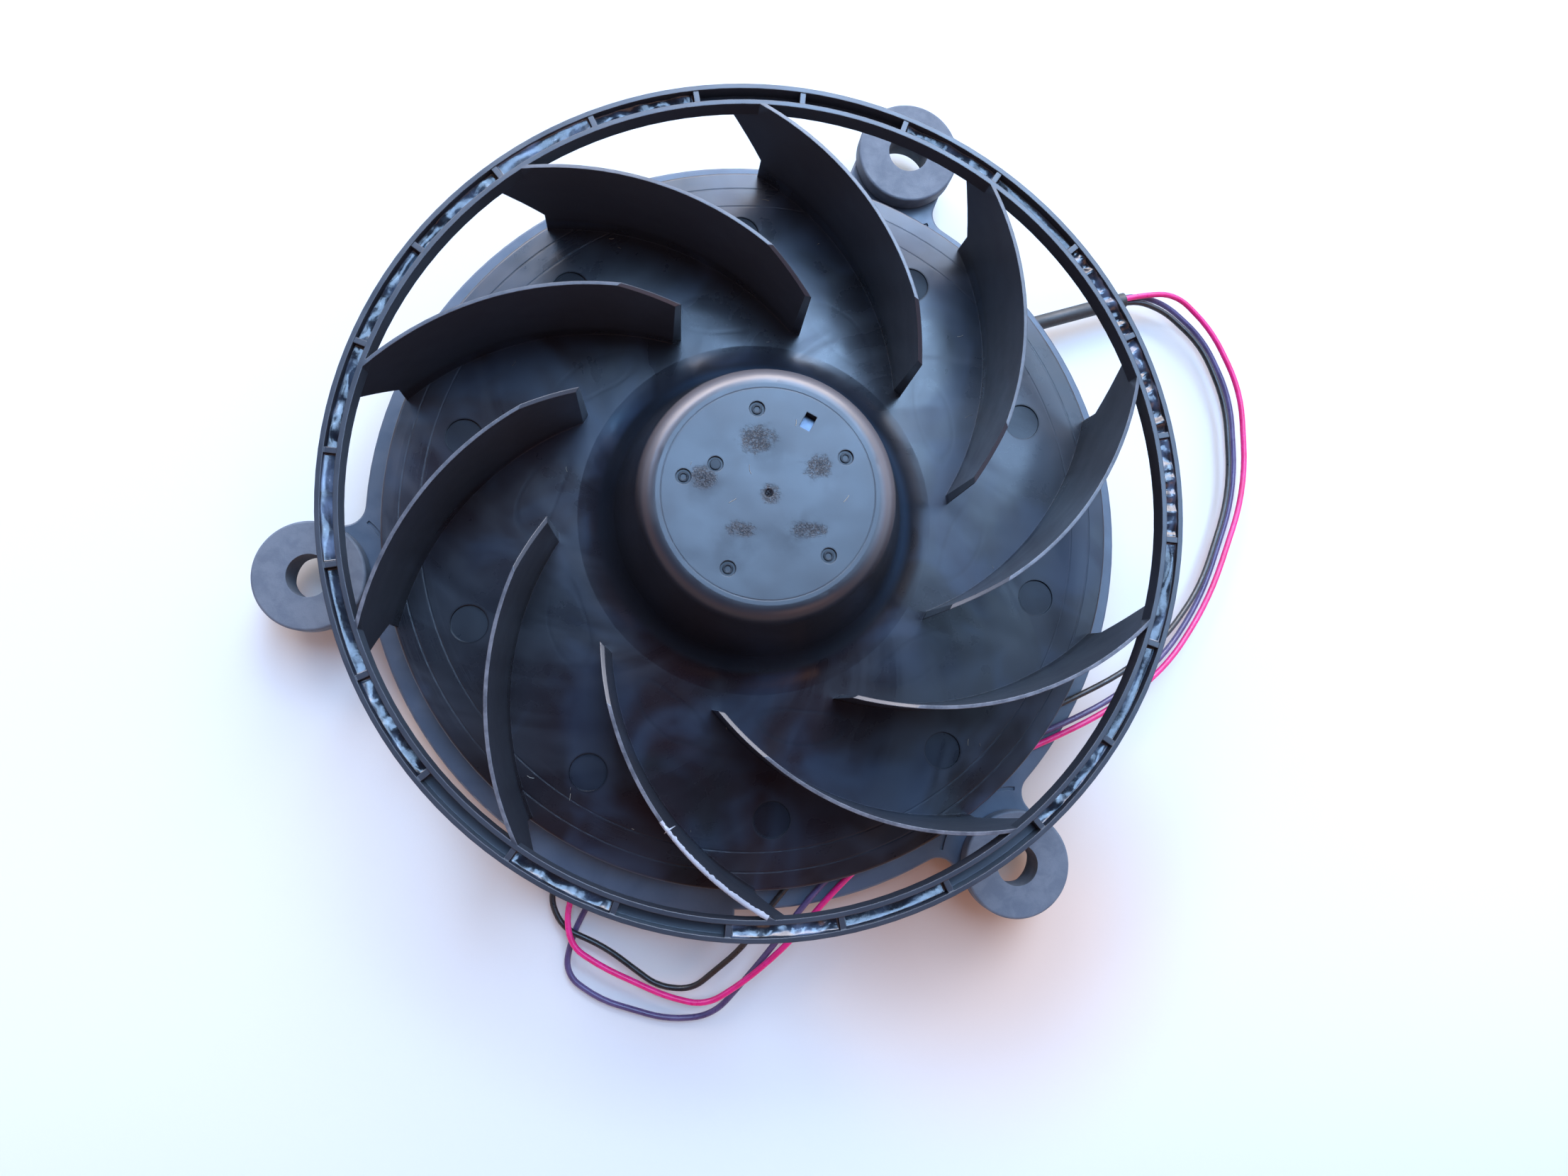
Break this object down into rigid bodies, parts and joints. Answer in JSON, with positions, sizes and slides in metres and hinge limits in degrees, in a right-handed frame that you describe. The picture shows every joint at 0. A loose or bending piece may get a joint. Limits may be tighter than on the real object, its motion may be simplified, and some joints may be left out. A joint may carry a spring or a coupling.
{
  "type": "three-eared blower fan",
  "caption": "External-rotor cooling fan: a shrouded impeller with backward-curved blades turns on a bracket with rubber-bushed ears and a loose cable.",
  "frame": {"origin": "centre of the circle through the three mounting bushes, in the plane of the bushes' lower faces", "axes": "+Z is the spin axis, from the bracket to the nose of the hub; one ear lies at 67.3 degrees from +X"},
  "size_m": [0.2051, 0.1877, 0.0471],
  "materials": {
    "impeller_plastic": "satin glass-filled black",
    "bracket_plastic": "satin glass-filled black",
    "bush_rubber": "matte",
    "clear_resin": "glossy, set",
    "yoke_steel": "zinc plated",
    "ferrite": "matte sintered",
    "brass": "turned",
    "shaft_steel": "ground",
    "zinc_steel": "zinc plated",
    "nylon": "natural",
    "sintered_bronze": "oil-filled sintered",
    "core_steel": "stacked laminations",
    "copper_winding": "enamelled",
    "tinned_brass": "tin plated",
    "board_laminate": "solder mask",
    "chip_epoxy": "moulded epoxy",
    "capacitor_can": "sleeved can",
    "wire_red": "insulation",
    "wire_violet": "insulation",
    "wire_black": "insulation",
    "sleeve_black": "shrunk sleeve",
    "plug_nylon": "natural"
  },
  "bodies": {
    "motor_base": {"motor_bracket": "bracket_plastic", "upper_bush": "bush_rubber", "left_bush": "bush_rubber", "right_bush": "bush_rubber", "bearing_tube": "brass", "lower_bearing": "sintered_bronze", "upper_bearing": "sintered_bronze", "thrust_pad": "nylon", "stator_core": "core_steel", "upper_insulator": "nylon", "lower_insulator": "nylon", "stator_windings": "copper_winding", "winding_pins": "tinned_brass", "circuit_board": "board_laminate", "board_screws": "zinc_steel", "hall_sensor": "chip_epoxy", "driver_chip": "chip_epoxy", "filter_capacitor": "capacitor_can", "cable_grommet": "bush_rubber", "cable_sleeve": "sleeve_black", "red_wire": "wire_red", "violet_wire": "wire_violet", "black_wire": "wire_black", "connector_housing": "plug_nylon", "crimp_terminals": "tinned_brass"},
    "rotor": {"impeller": "impeller_plastic", "balancing_compound": "clear_resin", "rotor_yoke": "yoke_steel", "ring_magnet": "ferrite", "rotor_boss": "brass", "shaft": "shaft_steel", "retaining_clip": "zinc_steel", "spacer_washer": "nylon"}
  },
  "joints": [
    {"name": "impeller_spin", "type": "hinge", "parent": "motor_base", "child": "rotor", "pos_m": [0, 0, 0.02], "axis": [0, 0, 1], "continuous": true}
  ]
}
